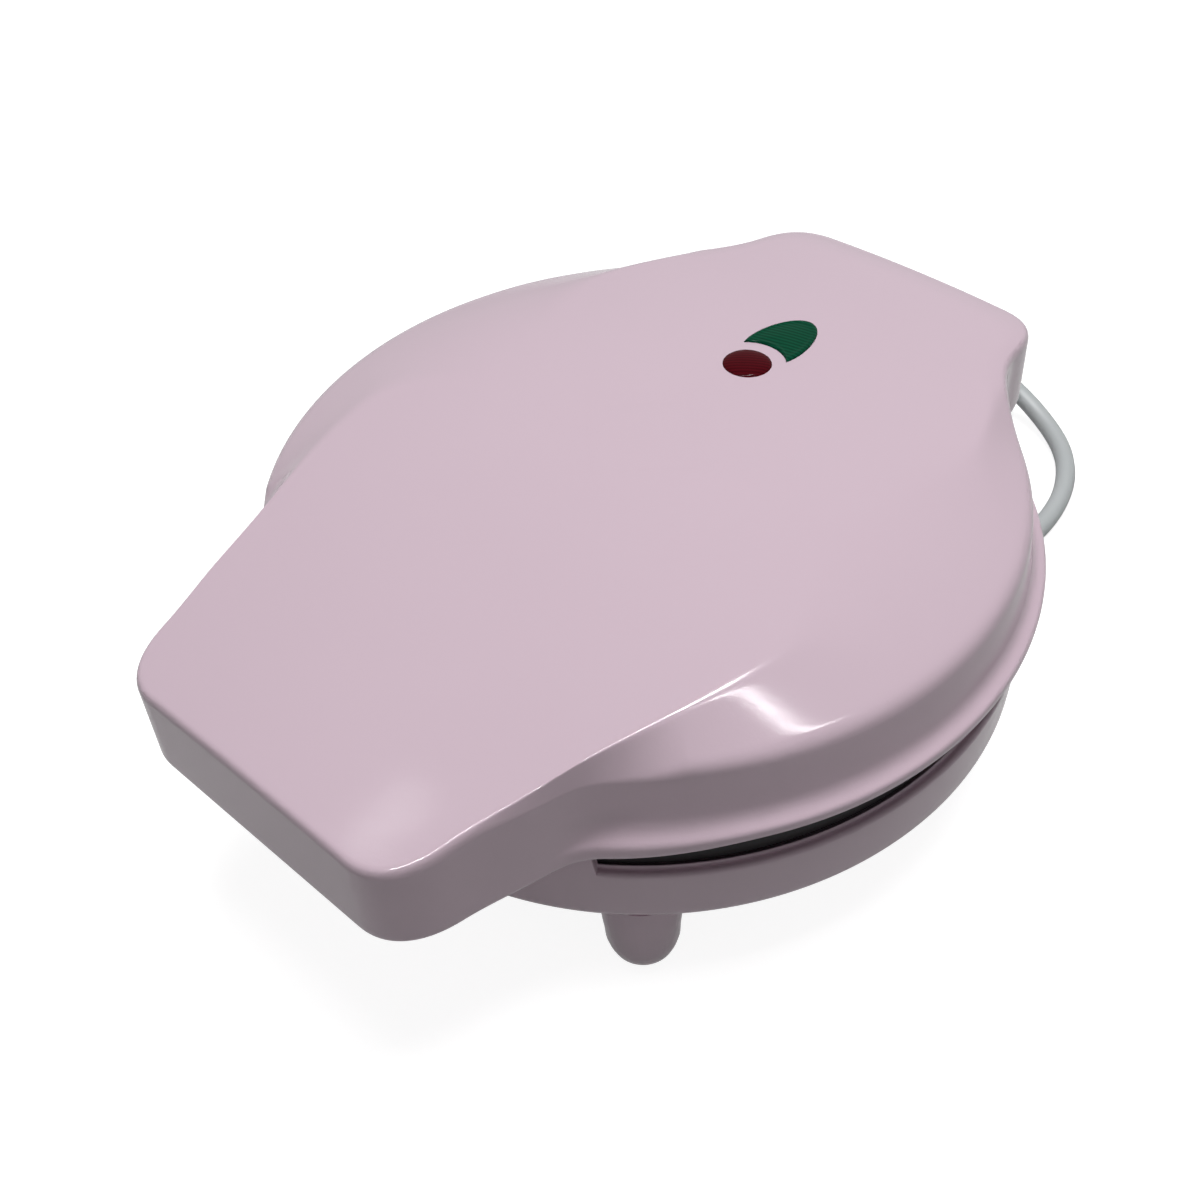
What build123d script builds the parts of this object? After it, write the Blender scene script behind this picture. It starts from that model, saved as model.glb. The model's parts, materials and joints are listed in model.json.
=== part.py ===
from build123d import *
import os
from math import atan2, cos, degrees, hypot, pi, radians, sin, sqrt, tan

# Heart waffle maker. Units are millimetres, +Z is up, the feet stand on z = 0, the handle
# points to -Y and the hinge is at +Y. Everything is drawn about the round body's axis, and
# each piece is moved forward by frame_y so that the origin is the middle of the whole length.
frame_y = 6.15

# Round body
wall_r = 112.0
wall_foot_r = 113.4
lip_r = 118.0
lip_z = 66.5
wall_top_z = 90.0
shoulder_over = 1.2
base_r = 114.0
rim_z = 50.7
base_edge_z = 32.0
underside_z = 16.0
underside_r = 82.0
skin = 2.6

# Domed top of the lid: part of a large sphere, cut by the creases beside the handle band
crown_r = 800.0
top_z = 104.9
handle_y = -147.4
rear_y = 135.1
bevel = 3.0
bevel_drop = 4.4
wall_rear_y = rear_y + bevel
# Half width of the band between its creases at stations along Y; its walls stand a bevel further out
band = [(-130, 56.0), (-112, 60.8), (-92, 66.0), (-70, 73.2), (-45, 79.4), (-20, 82.0), (0, 82.6),
        (20, 82.0), (45, 77.8), (70, 70.0), (92, 60.2), (116, 50.0)]
handle_z = 59.5
handle_rise_y = (-118.0, -96.0)

# Cooking plates
plate_r = 107.5
plate_body_r = 103.0
seat_gap = 0.4
parting_z = 65.8
rim_gap = 0.2
rim_drop = 8.6
back_drop = 13.2
ridge_drop = 1.7
floor_drop = 8.0
rib_h = 3.2
rib_w = 2.2
rib_pitch = 13.0
hearts = 5
heart_lobe_r = 23.0
heart_lobe_x = 20.0
heart_lobe_y = 70.0
heart_tip_y = 12.0
element_ring_r = 66.0
element_r = 3.2
shield_r = 84.0
shield_drop = 9.0
screw_ring_r = 97.5
screw_r = 2.0
screw_head_r = 3.6
boss_foot_z = 23.5

# Hinge
hinge_y = rear_y - 3.1
hinge_z = 62.0
pin_r = 2.5
running = 0.05
base_lug_x = (26.0, 34.0)
lid_lug_x = (34.4, 40.4)
rear_block_top = 53.0
neck_r = 116.5
neck_half = 70.0
neck_gap = 0.7

# Feet
foot_ring_r = 99.0
foot_angle = 40.0
foot_top_r = 12.5
foot_tip_r = 8.2
foot_round = 4.2
pad_r = 3.8
pad_h = 4.0
foot_lift = 0.6

# Lamps
red_y = 48.0
red_r = 8.0
green_tip_y = 77.0
green_side = (9.4, 58.6)
lens_fit = 0.15
lens_proud = 0.9
pad_z = 97.6

# Mains lead
cord_r = 3.5
gland_x = -20.0
gland_z = 34.0
relief_len = 24.0
coil_x, coil_y = -85.0, 168.0
coil_z = 4.4
coil_turns = 3.5
coil_outer_r = 44.5
coil_pitch = 9.0
coil_layer = 7.6
tail_run = 14.0
tail_rise_run = 9.2
plug_tilt = 10.0
# Route of the free lead, from the strain relief to the coil
route = [(gland_x, wall_rear_y + relief_len, gland_z), (gland_x, 174, gland_z), (-18, 184, 32), (-13, 191, 27),
         (-6, 196, 21.5), (4, 198.5, 15), (15.5, 199, 9.5), (27, 196, 5.6), (37.5, 190, 3.8), (46, 181, 3.6),
         (52.5, 169.5, 3.6), (56.5, 156, 3.6), (58, 140, 3.6), (55.5, 122, 3.6), (47, 106, 3.6), (33, 95, 3.6),
         (15, 91, 3.6), (-5, 94.5, 3.6), (-22.5, 104, 3.6), (-35, 118, 3.8), (-41.5, 134, 4.2),
         (coil_x + coil_outer_r, 149, coil_z), (coil_x + coil_outer_r, coil_y - 2 * cord_r, coil_z)]


def put(solid, name):
    os.makedirs("parts", exist_ok=True)
    export_step(Pos(0, frame_y, 0) * solid, f"parts/{name}.step")


def cylinder(r, z0, z1, x=0.0, y=0.0):
    return Pos(x, y, z0) * Cylinder(r, z1 - z0, align=(Align.CENTER, Align.CENTER, Align.MIN))


def block(x0, x1, y0, y1, z0, z1):
    return Pos((x0 + x1) / 2, (y0 + y1) / 2, (z0 + z1) / 2) * Box(x1 - x0, y1 - y0, z1 - z0)


def turned(points):
    """Solid of revolution about Z from (r, z) points; a third value is the next arc's bulge."""
    edges = []
    for a, b in zip(points, points[1:] + points[:1]):
        p, q = Vector(a[0], 0, a[1]), Vector(b[0], 0, b[1])
        if len(a) == 3:
            side = Vector(-(q - p).Z, 0, (q - p).X).normalized()
            edges.append(ThreePointArc(p, (p + q) / 2 + side * a[2], q))
        else:
            edges.append(Line(p, q))
    return revolve(make_face(edges), Axis.Z)


def crown_z(x, y):
    return top_z - crown_r + sqrt(crown_r**2 - x * x - y * y)


def band_edges():
    """Right half of the band's outline, from the middle of the front to the middle of the rear."""
    side = Spline(*[(w, y, 0) for y, w in band], tangents=[(0.19, 1, 0), (-0.38, 1, 0)])
    w0, y0 = band[0][1], band[0][0]
    w1, y1 = band[-1][1], band[-1][0]
    front = Line((0, handle_y, 0), (w0 - 17, handle_y, 0))
    front_corner = Bezier((w0 - 17, handle_y, 0), (w0 - 7, handle_y, 0), (w0 - 1.9, y0 - 10, 0), (w0, y0, 0))
    rear_corner = Bezier((w1, y1, 0), (w1 - 3.8, y1 + 10, 0), (w1 - 10, rear_y - 3.3, 0), (w1 - 20, rear_y - 1.9, 0))
    rear = Bezier((w1 - 20, rear_y - 1.9, 0), (w1 - 28, rear_y - 0.8, 0), (14, rear_y, 0), (0, rear_y, 0))
    return [front, front_corner, side, rear_corner, rear]


def band_face(inset=0.0):
    """Outline of the handle band, drawn in by inset all round."""
    right = []
    for edge, count in zip(band_edges(), (2, 5, 13, 5, 3)):
        spots = [i / (count - 1) for i in range(count)]
        ends = [edge.tangent_at(0), edge.tangent_at(1)]
        moved = [edge.position_at(u) + edge.tangent_at(u).rotate(Axis.Z, 90) * inset for u in spots]
        if right:
            moved[0] = right[-1].position_at(1)
        if abs(moved[-1].X) < abs(inset) + 0.01:
            moved[-1] = Vector(0, moved[-1].Y, 0)
        if not right:
            moved[0] = Vector(0, moved[0].Y, 0)
        right.append(Line(*moved) if count == 2 else Spline(*moved, tangents=ends))
    left = [mirror(e, Plane.YZ) for e in right]
    return make_face(right + left)


def crease_stations():
    """Points along the right-hand crease from just past the middle of the handle, with normals."""
    stations = []
    for edge, count in zip(band_edges(), (3, 5, 13, 5, 3)):
        for i in range(count - 1):
            u = i / (count - 1)
            stations.append((edge.position_at(u), edge.tangent_at(u).rotate(Axis.Z, -90)))
    front, rear = stations[0], (Vector(0, rear_y, 0), Vector(0, 1, 0))
    cross = Vector(-1, 0, 0)
    return [(front[0] + cross, front[1])] + stations + [(rear[0] + cross, rear[1])]


def shoulder_cutter():
    """What is taken off outside the right-hand crease, down to the bevel or the shoulder's slope."""
    inner, outer = [], []
    for spot, normal in crease_stations():
        crease = Vector(spot.X, spot.Y, crown_z(spot.X, spot.Y))
        radius = hypot(spot.X, spot.Y)
        wide = max(wall_r - radius, bevel)
        share = min(max((radius - 100.0) / (wall_r - 100.0), 0.0), 1.0)
        out = (Vector(spot.X, spot.Y, 0).normalized() * (1 - share) + normal * share).normalized()
        drop = (crease.Z - wall_top_z) * (1 - share) + bevel_drop * share
        inner.append(crease)
        outer.append(crease + (out * wide - Vector(0, 0, drop)) * (1 + shoulder_over / wide))
    strip = Face.make_surface_from_curves(Spline(*inner), Spline(*outer))
    return Solid.extrude(strip, Vector(0, 0, 40))


def lid_block(inset):
    """The lid's outer form drawn in by inset: round body and handle band under the crown."""
    z0 = handle_z - 1 if inset == 0 else handle_z + inset
    dome = Pos(0, 0, top_z - crown_r) * Sphere(crown_r - inset)
    cap = dome & block(-150, 150, -170, 170, z0 - 30, top_z + 1)
    arm = extrude(band_face(inset - bevel), amount=top_z + 5 - z0).moved(Location((0, 0, z0)))
    return cap, arm


def slant(z_front, z_back):
    """A wedge that is cut off under the handle, so that its lower edge rises to the lip."""
    y0, y1 = handle_rise_y
    low = [(-170, z_front), (y0, z_front), (y1, z_back), (170, z_back), (170, 0), (-170, 0)]
    face = make_face([Line((-150, a[0], a[1]), (-150, b[0], b[1])) for a, b in zip(low, low[1:] + low[:1])])
    return extrude(face, amount=300, dir=(1, 0, 0))


def lens_faces(grow):
    red = Pos(0, red_y) * Circle(red_r + grow)
    sx, sy = green_side
    low = red_y + red_r + 1.7
    side = ThreePointArc((sx + grow, sy - grow, 0), (7.9 + grow, 68.6, 0), (0, green_tip_y + grow * 1.3, 0))
    bottom = ThreePointArc((-sx - grow, sy - grow, 0), (0, low - grow, 0), (sx + grow, sy - grow, 0))
    green = make_face([bottom, side, mirror(side, Plane.YZ)])
    return red, green


def lid_shell():
    cap, arm = lid_block(0.0)
    round_part = turned([(0, lip_z), (lip_r - 0.8, lip_z), (lip_r, lip_z + 0.8), (lip_r, lip_z + 3.2),
                         (lip_r - 0.7, lip_z + 4.2, -0.8), (wall_foot_r, lip_z + 8.5), (wall_r, wall_top_z - 0.5),
                         (wall_r, 125), (0, 125)])
    shell = (round_part + arm) & cap
    shell -= slant(handle_z, lip_z)
    cutter = shoulder_cutter()
    shell = shell - cutter - mirror(cutter, Plane.YZ)
    # Hollow of the round body, above the seat for the cooking plate
    seat = parting_z + rim_gap + rim_drop
    void_cap, void_arm = lid_block(skin)
    hollow = turned([(0, lip_z - 5), (plate_r + seat_gap, lip_z - 5), (plate_r + seat_gap, seat),
                     (plate_r - 3, seat), (plate_r - 3, seat + skin), (wall_r - skin, seat + skin),
                     (wall_r - skin, wall_top_z - 3), (86, wall_top_z + 4.5), (0, wall_top_z + 4.5)])
    shell -= hollow
    arm_hollow = (void_arm & void_cap) - slant(handle_z + skin, lip_z + skin) - cylinder(wall_r - skin - 0.3, 0, seat + skin)
    inner_cut = cutter.moved(Location((-skin * 0.7, 0, -skin * 1.1)))
    arm_hollow = arm_hollow - inner_cut - mirror(inner_cut, Plane.YZ)
    shell -= arm_hollow
    # Bosses that the plate's screws go into
    bosses = Sketch()
    back = parting_z + rim_gap + back_drop
    for x, y in ring_places(screw_ring_r, 36.0):
        roof = crown_z(x, y) - skin / 2 if abs(x) < 70 else wall_top_z + 1
        shell += cylinder(5.0, back, roof, x, y) - cylinder(screw_r, back, back + 8, x, y)
    # Windows for the two lamps, in a thicker pad
    red, green = lens_faces(lens_fit)
    pad = block(-15, 15, red_y - 13, green_tip_y + 5, pad_z, top_z)
    shell += pad & Pos(0, 0, top_z - crown_r) * Sphere(crown_r - 1)
    for face in (red, green):
        shell -= extrude(face, amount=20).moved(Location((0, 0, pad_z - 2)))
    # Hinge lugs under the rear block
    for side in (-1, 1):
        x0, x1 = sorted(side * x for x in lid_lug_x)
        lug = block(x0, x1, hinge_y - 12, hinge_y + 4, lip_z, lip_z + 14)
        lug += block(x0, x1, hinge_y - 4, hinge_y + 4, hinge_z, lip_z + 1)
        lug += Pos((x0 + x1) / 2, hinge_y, hinge_z) * Rot(0, 90, 0) * Cylinder(4.5, x1 - x0)
        lug -= Pos((x0 + x1) / 2, hinge_y, hinge_z) * Rot(0, 90, 0) * Cylinder(pin_r + running, 20)
        shell += lug
    return shell


def ring_places(radius, start, count=hearts):
    step = 360.0 / count
    return [(radius * sin(radians(start + i * step)), -radius * cos(radians(start + i * step))) for i in range(count)]


def heart_face(grow=0.0):
    """One heart pointing to the centre, its lobes outwards along -Y."""
    r = heart_lobe_r + grow
    tip = Vector(0, -heart_tip_y + grow * 1.7)
    away = Vector(heart_lobe_x, -heart_lobe_y) - tip
    reach = sqrt(away.length**2 - r**2)
    turn = degrees(atan2(r, reach))
    touch = tip + away.normalized().rotate(Axis.Z, turn) * reach
    lobe = Circle(r)
    wedge = make_face(Polyline(tip, touch, (heart_lobe_x, -heart_lobe_y), (0, -heart_lobe_y - 8),
                               (-heart_lobe_x, -heart_lobe_y), (-touch.X, touch.Y), close=True))
    return Pos(heart_lobe_x, -heart_lobe_y) * lobe + Pos(-heart_lobe_x, -heart_lobe_y) * lobe + wedge


def cooking_plate():
    """The lower plate, its rim's top on z = 0 and its back at -back_drop."""
    plate = turned([(0, -back_drop), (plate_body_r, -back_drop), (plate_body_r, -rim_drop), (plate_r, -rim_drop),
                    (plate_r, -0.8), (plate_r - 0.8, 0), (plate_r - 3.4, 0), (plate_r - 4.6, -ridge_drop), (0, -ridge_drop)])
    heart = heart_face()
    pocket = extrude(heart, amount=40).moved(Location((0, 0, -floor_drop)))
    ribs = Part()
    reach = 3
    for i in range(-reach, reach + 1):
        ribs += block(i * rib_pitch - rib_w / 2, i * rib_pitch + rib_w / 2, -96, -8, -floor_drop - 1, rib_h - floor_drop)
        mid = -54.5 + i * rib_pitch
        ribs += block(-46, 46, mid - rib_w / 2, mid + rib_w / 2, -floor_drop - 1, rib_h - floor_drop)
    pocket -= ribs
    # Rounded groove on the back for the heating element
    land = turned([(element_ring_r - 6, -back_drop - element_r), (element_ring_r + 6, -back_drop - element_r),
                   (element_ring_r + 6, -back_drop), (element_ring_r - 6, -back_drop)])
    groove = Pos(0, 0, -back_drop - element_r) * Torus(element_ring_r, element_r)
    plate += land - groove + cylinder(6, -back_drop - shield_drop, -back_drop)
    plate -= cylinder(screw_r, -back_drop - shield_drop, -back_drop - 1)
    for i in range(hearts):
        plate -= pocket.rotate(Axis.Z, i * 360 / hearts)
    for x, y in ring_places(screw_ring_r, 36.0):
        plate -= cylinder(screw_r + 0.2, -20, 5, x, y)
        plate -= Pos(x, y, -ridge_drop) * Cone(0.1, screw_head_r + 0.1, 3.5, align=(Align.CENTER, Align.CENTER, Align.MAX))
    return plate


def element():
    """Tubular heating element: an open ring whose two ends turn down through the shield."""
    z = -back_drop - element_r
    gap = 14.0
    ring = CenterArc((0, 0, z), element_ring_r, gap - 90, 360 - 2 * gap)
    return sweep(Plane(origin=ring @ 0, z_dir=ring % 0) * Circle(element_r), path=ring) + element_tails(z, gap)


def element_tails(z, gap):
    tails = Part()
    for angle in (gap - 90, -gap - 90):
        x, y = element_ring_r * cos(radians(angle)), element_ring_r * sin(radians(angle))
        tails += Pos(x, y, z) * Sphere(element_r) + cylinder(element_r, z - 11.4, z, x, y)
    return tails


def heat_shield():
    """Steel pan over the element, its rim against the back of the plate."""
    z = -back_drop - shield_drop
    pan = turned([(0, z - 0.8), (shield_r, z - 0.8), (shield_r, -back_drop), (shield_r - 0.8, -back_drop),
                  (shield_r - 0.8, z), (0, z)])
    pan -= cylinder(screw_r + 0.2, z - 2, z + 2)
    pan -= cylinder(9.6, z - 2, z + 2, 0, -30)
    for angle in (-104, -76):
        pan -= cylinder(element_r + 0.6, z - 2, z + 2, element_ring_r * cos(radians(angle)),
                        element_ring_r * sin(radians(angle)))
    return pan


def control(radius, height):
    """Thermostat or thermal cut-out that sits on the back of a plate and stands through its shield."""
    can = cylinder(radius, -back_drop - height, -back_drop, 0, -30)
    tabs = block(-radius + 2, -radius + 2.8, -33, -27, -back_drop - height - 4, -back_drop - height)
    return can + tabs + mirror(tabs, Plane.YZ)


def screw(x, y):
    head = Pos(x, y, -ridge_drop) * Cone(screw_r, screw_head_r, 1.5, align=(Align.CENTER, Align.CENTER, Align.MAX))
    return head + cylinder(screw_r, -back_drop - 7, -ridge_drop - 1, x, y)


def shield_screw():
    z = -back_drop - shield_drop - 0.8
    return cylinder(4, z - 2, z) + cylinder(screw_r, z - 1, z + 7)


def lower(solid):
    return solid.moved(Location((0, 0, parting_z - rim_gap)))


def upper(solid):
    return Pos(0, 0, parting_z + rim_gap) * Rot(0, 180, 0) * solid


def neck(inset, z0):
    """Raised front of the base's ring under the handle; its top follows the handle's lower edge."""
    body = cylinder(neck_r - inset, z0, lip_z) & block(-neck_half + inset, neck_half - inset, -neck_r, -88, z0, lip_z)
    return body & slant(handle_z - neck_gap - inset, lip_z - neck_gap - inset)


def base_shell():
    seat = parting_z - rim_gap - rim_drop
    shell = turned([(0, underside_z), (underside_r, underside_z, 3.6), (base_r - 0.6, base_edge_z),
                    (base_r, rim_z - 1), (base_r - 1, rim_z), (base_r - 2, rim_z), (base_r - 2, rim_z + 1),
                    (plate_r - 0.4, seat), (0, seat)])
    # Rear block under the hinge
    rear = extrude(band_face(0.6 - bevel), amount=rear_block_top - 22).moved(Location((0, 0, 22)))
    shell += rear & block(-80, 80, 70, 150, 20, 60)
    shell += neck(0, base_edge_z + 2) - cylinder(plate_r + seat_gap, 0, 100)
    # Hollow inside, with the seat for the cooking plate
    hollow = turned([(0, underside_z + skin), (underside_r, underside_z + skin, 3.4),
                     (base_r - 0.6 - skin, base_edge_z + 1), (base_r - skin, rim_z - 3.5), (plate_body_r + seat_gap, seat - skin),
                     (plate_body_r + seat_gap, seat + 1), (0, seat + 1)])
    shell -= hollow
    rear_hollow = extrude(band_face(0.6 + skin - bevel), amount=rear_block_top - 22 - 2 * skin).moved(Location((0, 0, 22 + skin)))
    shell -= rear_hollow & block(-80, 80, 96, 150, 20, 50)
    for x, y in ring_places(screw_ring_r, 36.0):
        top = parting_z - rim_gap - back_drop
        shell += (cylinder(5.0, boss_foot_z, top, x, y) - cylinder(screw_r, top - 8, top, x, y))
    for side in (-1, 1):
        x0, x1 = sorted(side * x for x in base_lug_x)
        lug = block(x0, x1, hinge_y - 4, hinge_y + 3.5, rear_block_top - 1, hinge_z)
        lug += Pos((x0 + x1) / 2, hinge_y, hinge_z) * Rot(0, 90, 0) * Cylinder(4.0, x1 - x0)
        lug -= Pos((x0 + x1) / 2, hinge_y, hinge_z) * Rot(0, 90, 0) * Cylinder(pin_r, 20)
        shell += lug
    for x, y in foot_places():
        leg = Pos(x, y, foot_lift) * Cone(foot_tip_r, foot_top_r, base_edge_z - foot_lift,
                                          align=(Align.CENTER, Align.CENTER, Align.MIN))
        leg = fillet(leg.edges().group_by(Axis.Z)[0], foot_round) & cylinder(base_r - 0.7, 0, 60)
        leg -= turned([(0, underside_z + 1), (underside_r, underside_z + 1, 3.4), (base_r - 2, base_edge_z + 1), (0, base_edge_z + 1)])
        shell += leg - cylinder(pad_r, 0, pad_h, x, y)
    shell -= Pos(gland_x, wall_rear_y - 4, gland_z) * Rot(90, 0, 0) * Cylinder(6.0, 12)
    return shell


def foot_places():
    sx, sy = foot_ring_r * sin(radians(foot_angle)), foot_ring_r * cos(radians(foot_angle))
    return [(-sx, -sy), (sx, -sy), (sx, sy), (-sx, sy)]


def lens(face, flange):
    glass = extrude(face, amount=20).moved(Location((0, 0, pad_z - 1)))
    glass &= Pos(0, 0, top_z - crown_r + lens_proud) * Sphere(crown_r) & block(-30, 30, 0, 100, 80, 120)
    return glass + extrude(flange, amount=1.4).moved(Location((0, 0, pad_z - 1.4)))


def lamp_holder():
    z = pad_z
    tray = block(-14, 14, red_y - 12, green_tip_y + 4, z - 7.6, z) - block(-12, 12, red_y - 10, green_tip_y + 2, z - 6.2, z)
    return tray


def lamp(y):
    return cylinder(1.8, pad_z - 6.2, pad_z - 4.2, 0, y) + Pos(0, y, pad_z - 3.8) * Sphere(2.2)


def strain_relief():
    y0 = wall_rear_y - 0.6
    cone = Cone(6.0, 4.6, relief_len + 0.6, align=(Align.CENTER, Align.CENTER, Align.MIN))
    sleeve = cone + Pos(0, 0, -6) * Cylinder(6.0, 6, align=(Align.CENTER, Align.CENTER, Align.MIN))
    sleeve += Pos(0, 0, -8.6) * Cylinder(8.0, 3, align=(Align.CENTER, Align.CENTER, Align.MIN))
    for i in range(3):
        sleeve -= Pos(0, 0, 6 + i * 6) * (Cylinder(8, 1.6) - Cylinder(4.2, 1.6))
    return Pos(gland_x, y0, gland_z) * Rot(-90, 0, 0) * sleeve


def cord_path():
    points = [Vector(*p) for p in route]
    radii = []
    for a, b, c in zip(points, points[1:], points[2:]):
        turn = radians((b - a).get_angle(c - b))
        radii.append(0.45 * min((b - a).length, (c - b).length) / tan(turn / 2))
    print("cord radii", [round(r) for r in radii])
    return FilletPolyline(*points, radius=radii)


def tube(path):
    section = Plane(origin=path @ 0, z_dir=path % 0) * Circle(cord_r)
    solid = sweep(section, path=path)
    print("tube length", round(path.length, 1), "volume ratio", round(solid.volume / (pi * cord_r**2 * path.length), 4))
    return solid


def coil_point(turn):
    """Centre line of the coil: inwards on the floor, up in half a turn, outwards on top."""
    spiral = (coil_turns - 0.5) / 2
    inner_r = coil_outer_r - spiral * coil_pitch
    if turn <= spiral:
        r, lift = coil_outer_r - turn * coil_pitch, 0.0
    elif turn <= spiral + 0.5:
        share = (turn - spiral) / 0.5
        r, lift = inner_r, share * share * (3 - 2 * share)
    else:
        r, lift = inner_r + (turn - spiral - 0.5) * coil_pitch, 1.0
    angle = 2 * pi * turn
    return Vector(coil_x + r * cos(angle), coil_y + r * sin(angle), coil_z + coil_layer * lift)


def coil_tangent(turn):
    step = 1e-4
    low, high = max(turn - step, 0), min(turn + step, coil_turns)
    return (coil_point(high) - coil_point(low)).normalized()


def biarc(p, t, q, u):
    """Two tangent arcs from p, heading t, to q, heading u."""
    v, w = q - p, t + u
    k = 2 * (1 - t.dot(u))
    d = (-v.dot(w) + sqrt(v.dot(w) ** 2 + k * v.dot(v))) / k
    mid = (p + q + (t - u) * d) / 2
    first = Edge.make_tangent_arc(p, t, mid)
    return [first, Edge.make_tangent_arc(mid, first.tangent_at(1), q)]


def cord_coil():
    lead = 2 * cord_r
    stations = [i / 8 for i in range(int(coil_turns * 8) + 1)]
    places = [coil_point(s) for s in stations]
    heads = [coil_tangent(s) for s in stations]
    heads[0], heads[-1] = Vector(0, 1, 0), Vector(0, -1, 0)
    edges = [Edge.make_line(places[0] - heads[0] * lead, places[0])]
    for i in range(len(stations) - 1):
        edges += biarc(places[i], heads[i], places[i + 1], heads[i + 1])
    edges.append(Edge.make_line(places[-1], places[-1] + heads[-1] * lead))
    fine = [coil_point(i / 96) for i in range(int(coil_turns * 96) + 1)]
    near = min((a - b).length for i, a in enumerate(fine) for b in fine[i + 48:])
    print("coil least gap", round(near - 2 * cord_r, 2))
    return tube(Wire(edges))


def coil_tie():
    """Strap round the coil's turns on the side away from the hinge."""
    outer, inner = coil_point(0.25).Y, coil_point(1.25).Y
    wide, high = outer - inner + 2 * cord_r + 0.4, coil_layer + 2 * cord_r + 0.1
    ring = RectangleRounded(wide + 1.6, high + 1.6, 3.8) - RectangleRounded(wide, high, 3.0)
    place = Pos(coil_x - 2.5, (outer + inner) / 2, coil_z + coil_layer / 2)
    return place * extrude(Plane.YZ * ring, amount=5)


def plug_start():
    return coil_point(coil_turns) + Vector(0, -2 * cord_r, 0)


def tail_points():
    a = plug_start()
    b = a + Vector(0, -tail_run, 0)
    tilt = radians(plug_tilt)
    return [a, b, b + Vector(0, -tail_rise_run * cos(tilt), tail_rise_run * sin(tilt))]


def cord_tail():
    a, b, c = tail_points()
    radius = 0.45 * min(tail_run, tail_rise_run) / tan(radians(plug_tilt) / 2)
    print("tail radius", round(radius))
    return tube(FilletPolyline(a, b, c, radius=radius))


def plug_solids():
    end = tail_points()[-1]
    place = Pos(end.X, end.Y, end.Z) * Rot(90 - plug_tilt, 0, 0)
    low = (Align.CENTER, Align.CENTER, Align.MIN)
    body = Cone(5.0, 7.0, 18, align=low) + Pos(0, 0, 18) * Cone(7.0, 15.0, 14, align=low)
    body += Pos(0, 0, 32) * Cylinder(19.4, 16, align=low)
    body -= Pos(18.6, 0, 40) * Box(3, 5, 30) + Pos(-18.6, 0, 40) * Box(3, 5, 30)
    body -= Pos(9.5, 0, 44) * Cylinder(2.4, 4, align=low) + Pos(-9.5, 0, 44) * Cylinder(2.4, 4, align=low)
    pins = []
    for x in (-9.5, 9.5):
        pin = Cylinder(2.4, 23 - 0.8, align=low) + Pos(0, 0, 22.2) * Cone(2.4, 1.6, 0.8, align=low)
        pins.append(place * (Pos(x, 0, 44) * pin))
    return place * body, pins


put(lid_shell(), "lid_shell")
put(base_shell(), "base_shell")
plate = cooking_plate()
coil_of_heat = element()
shield = heat_shield()
for name, seat in (("upper", upper), ("lower", lower)):
    put(seat(plate), f"{name}_plate")
    put(seat(coil_of_heat), f"{name}_heating_element")
    put(seat(shield), f"{name}_heat_shield")
    put(seat(shield_screw()), f"{name}_shield_screw")
    for i, (x, y) in enumerate(ring_places(screw_ring_r, 36.0), 1):
        put(seat(screw(x, y)), f"{name}_plate_screw_{i}")
put(upper(control(9.0, 11.0)), "thermostat")
put(lower(control(7.0, 13.0)), "thermal_cut_out")
red, green = lens_faces(0.0)
red_flange, green_flange = lens_faces(0.6)
put(lens(red, red_flange), "red_lens")
put(lens(green, green_flange), "green_lens")
put(lamp_holder(), "lamp_holder")
put(lamp(red_y), "red_lamp")
put(lamp(66.0), "green_lamp")
for side, name in ((-1, "left"), (1, "right")):
    x0, x1 = base_lug_x[0] - 1, lid_lug_x[1] + 1
    put(Pos(side * (x0 + x1) / 2, hinge_y, hinge_z) * Rot(0, 90, 0) * Cylinder(pin_r, x1 - x0), f"hinge_pin_{name}")
for i, (x, y) in enumerate(foot_places(), 1):
    put(cylinder(pad_r, 0, pad_h, x, y), f"foot_pad_{i}")
put(block(gland_x - 6, gland_x + 26, 60, 74, underside_z + skin, underside_z + skin + 13), "terminal_block")
put(strain_relief(), "strain_relief")
put(tube(cord_path()), "cord")
put(cord_coil(), "cord_coil")
put(coil_tie(), "coil_tie")
put(cord_tail(), "cord_tail")
plug_body, plug_pins = plug_solids()
put(plug_body, "plug_body")
for i, pin in enumerate(plug_pins, 1):
    put(pin, f"plug_pin_{i}")
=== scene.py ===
import json
from math import cos, pi, radians, sin

import bmesh
import bpy
import numpy as np
from mathutils import Matrix, Vector


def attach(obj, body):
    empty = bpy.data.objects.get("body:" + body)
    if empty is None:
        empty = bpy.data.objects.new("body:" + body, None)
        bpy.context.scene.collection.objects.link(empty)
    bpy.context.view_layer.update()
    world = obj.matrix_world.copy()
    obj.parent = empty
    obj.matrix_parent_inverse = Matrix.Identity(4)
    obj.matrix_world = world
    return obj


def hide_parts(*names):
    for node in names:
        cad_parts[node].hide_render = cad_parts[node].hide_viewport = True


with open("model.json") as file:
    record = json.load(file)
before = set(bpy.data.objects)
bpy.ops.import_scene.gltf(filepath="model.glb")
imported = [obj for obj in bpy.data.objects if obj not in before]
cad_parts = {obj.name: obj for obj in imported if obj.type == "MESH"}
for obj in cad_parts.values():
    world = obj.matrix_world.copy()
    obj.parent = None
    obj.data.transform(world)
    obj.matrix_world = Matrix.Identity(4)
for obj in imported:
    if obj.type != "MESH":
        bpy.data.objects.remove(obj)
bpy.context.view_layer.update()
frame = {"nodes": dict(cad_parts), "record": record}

# Sizes in millimetres, drawn about the round body's axis; FORWARD moves them into the frame
FORWARD = 6.15
CROWN_R, TOP_Z = 800.0, 104.9
FRONT_Y = -147.4
REAR_Y = 135.1
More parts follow.
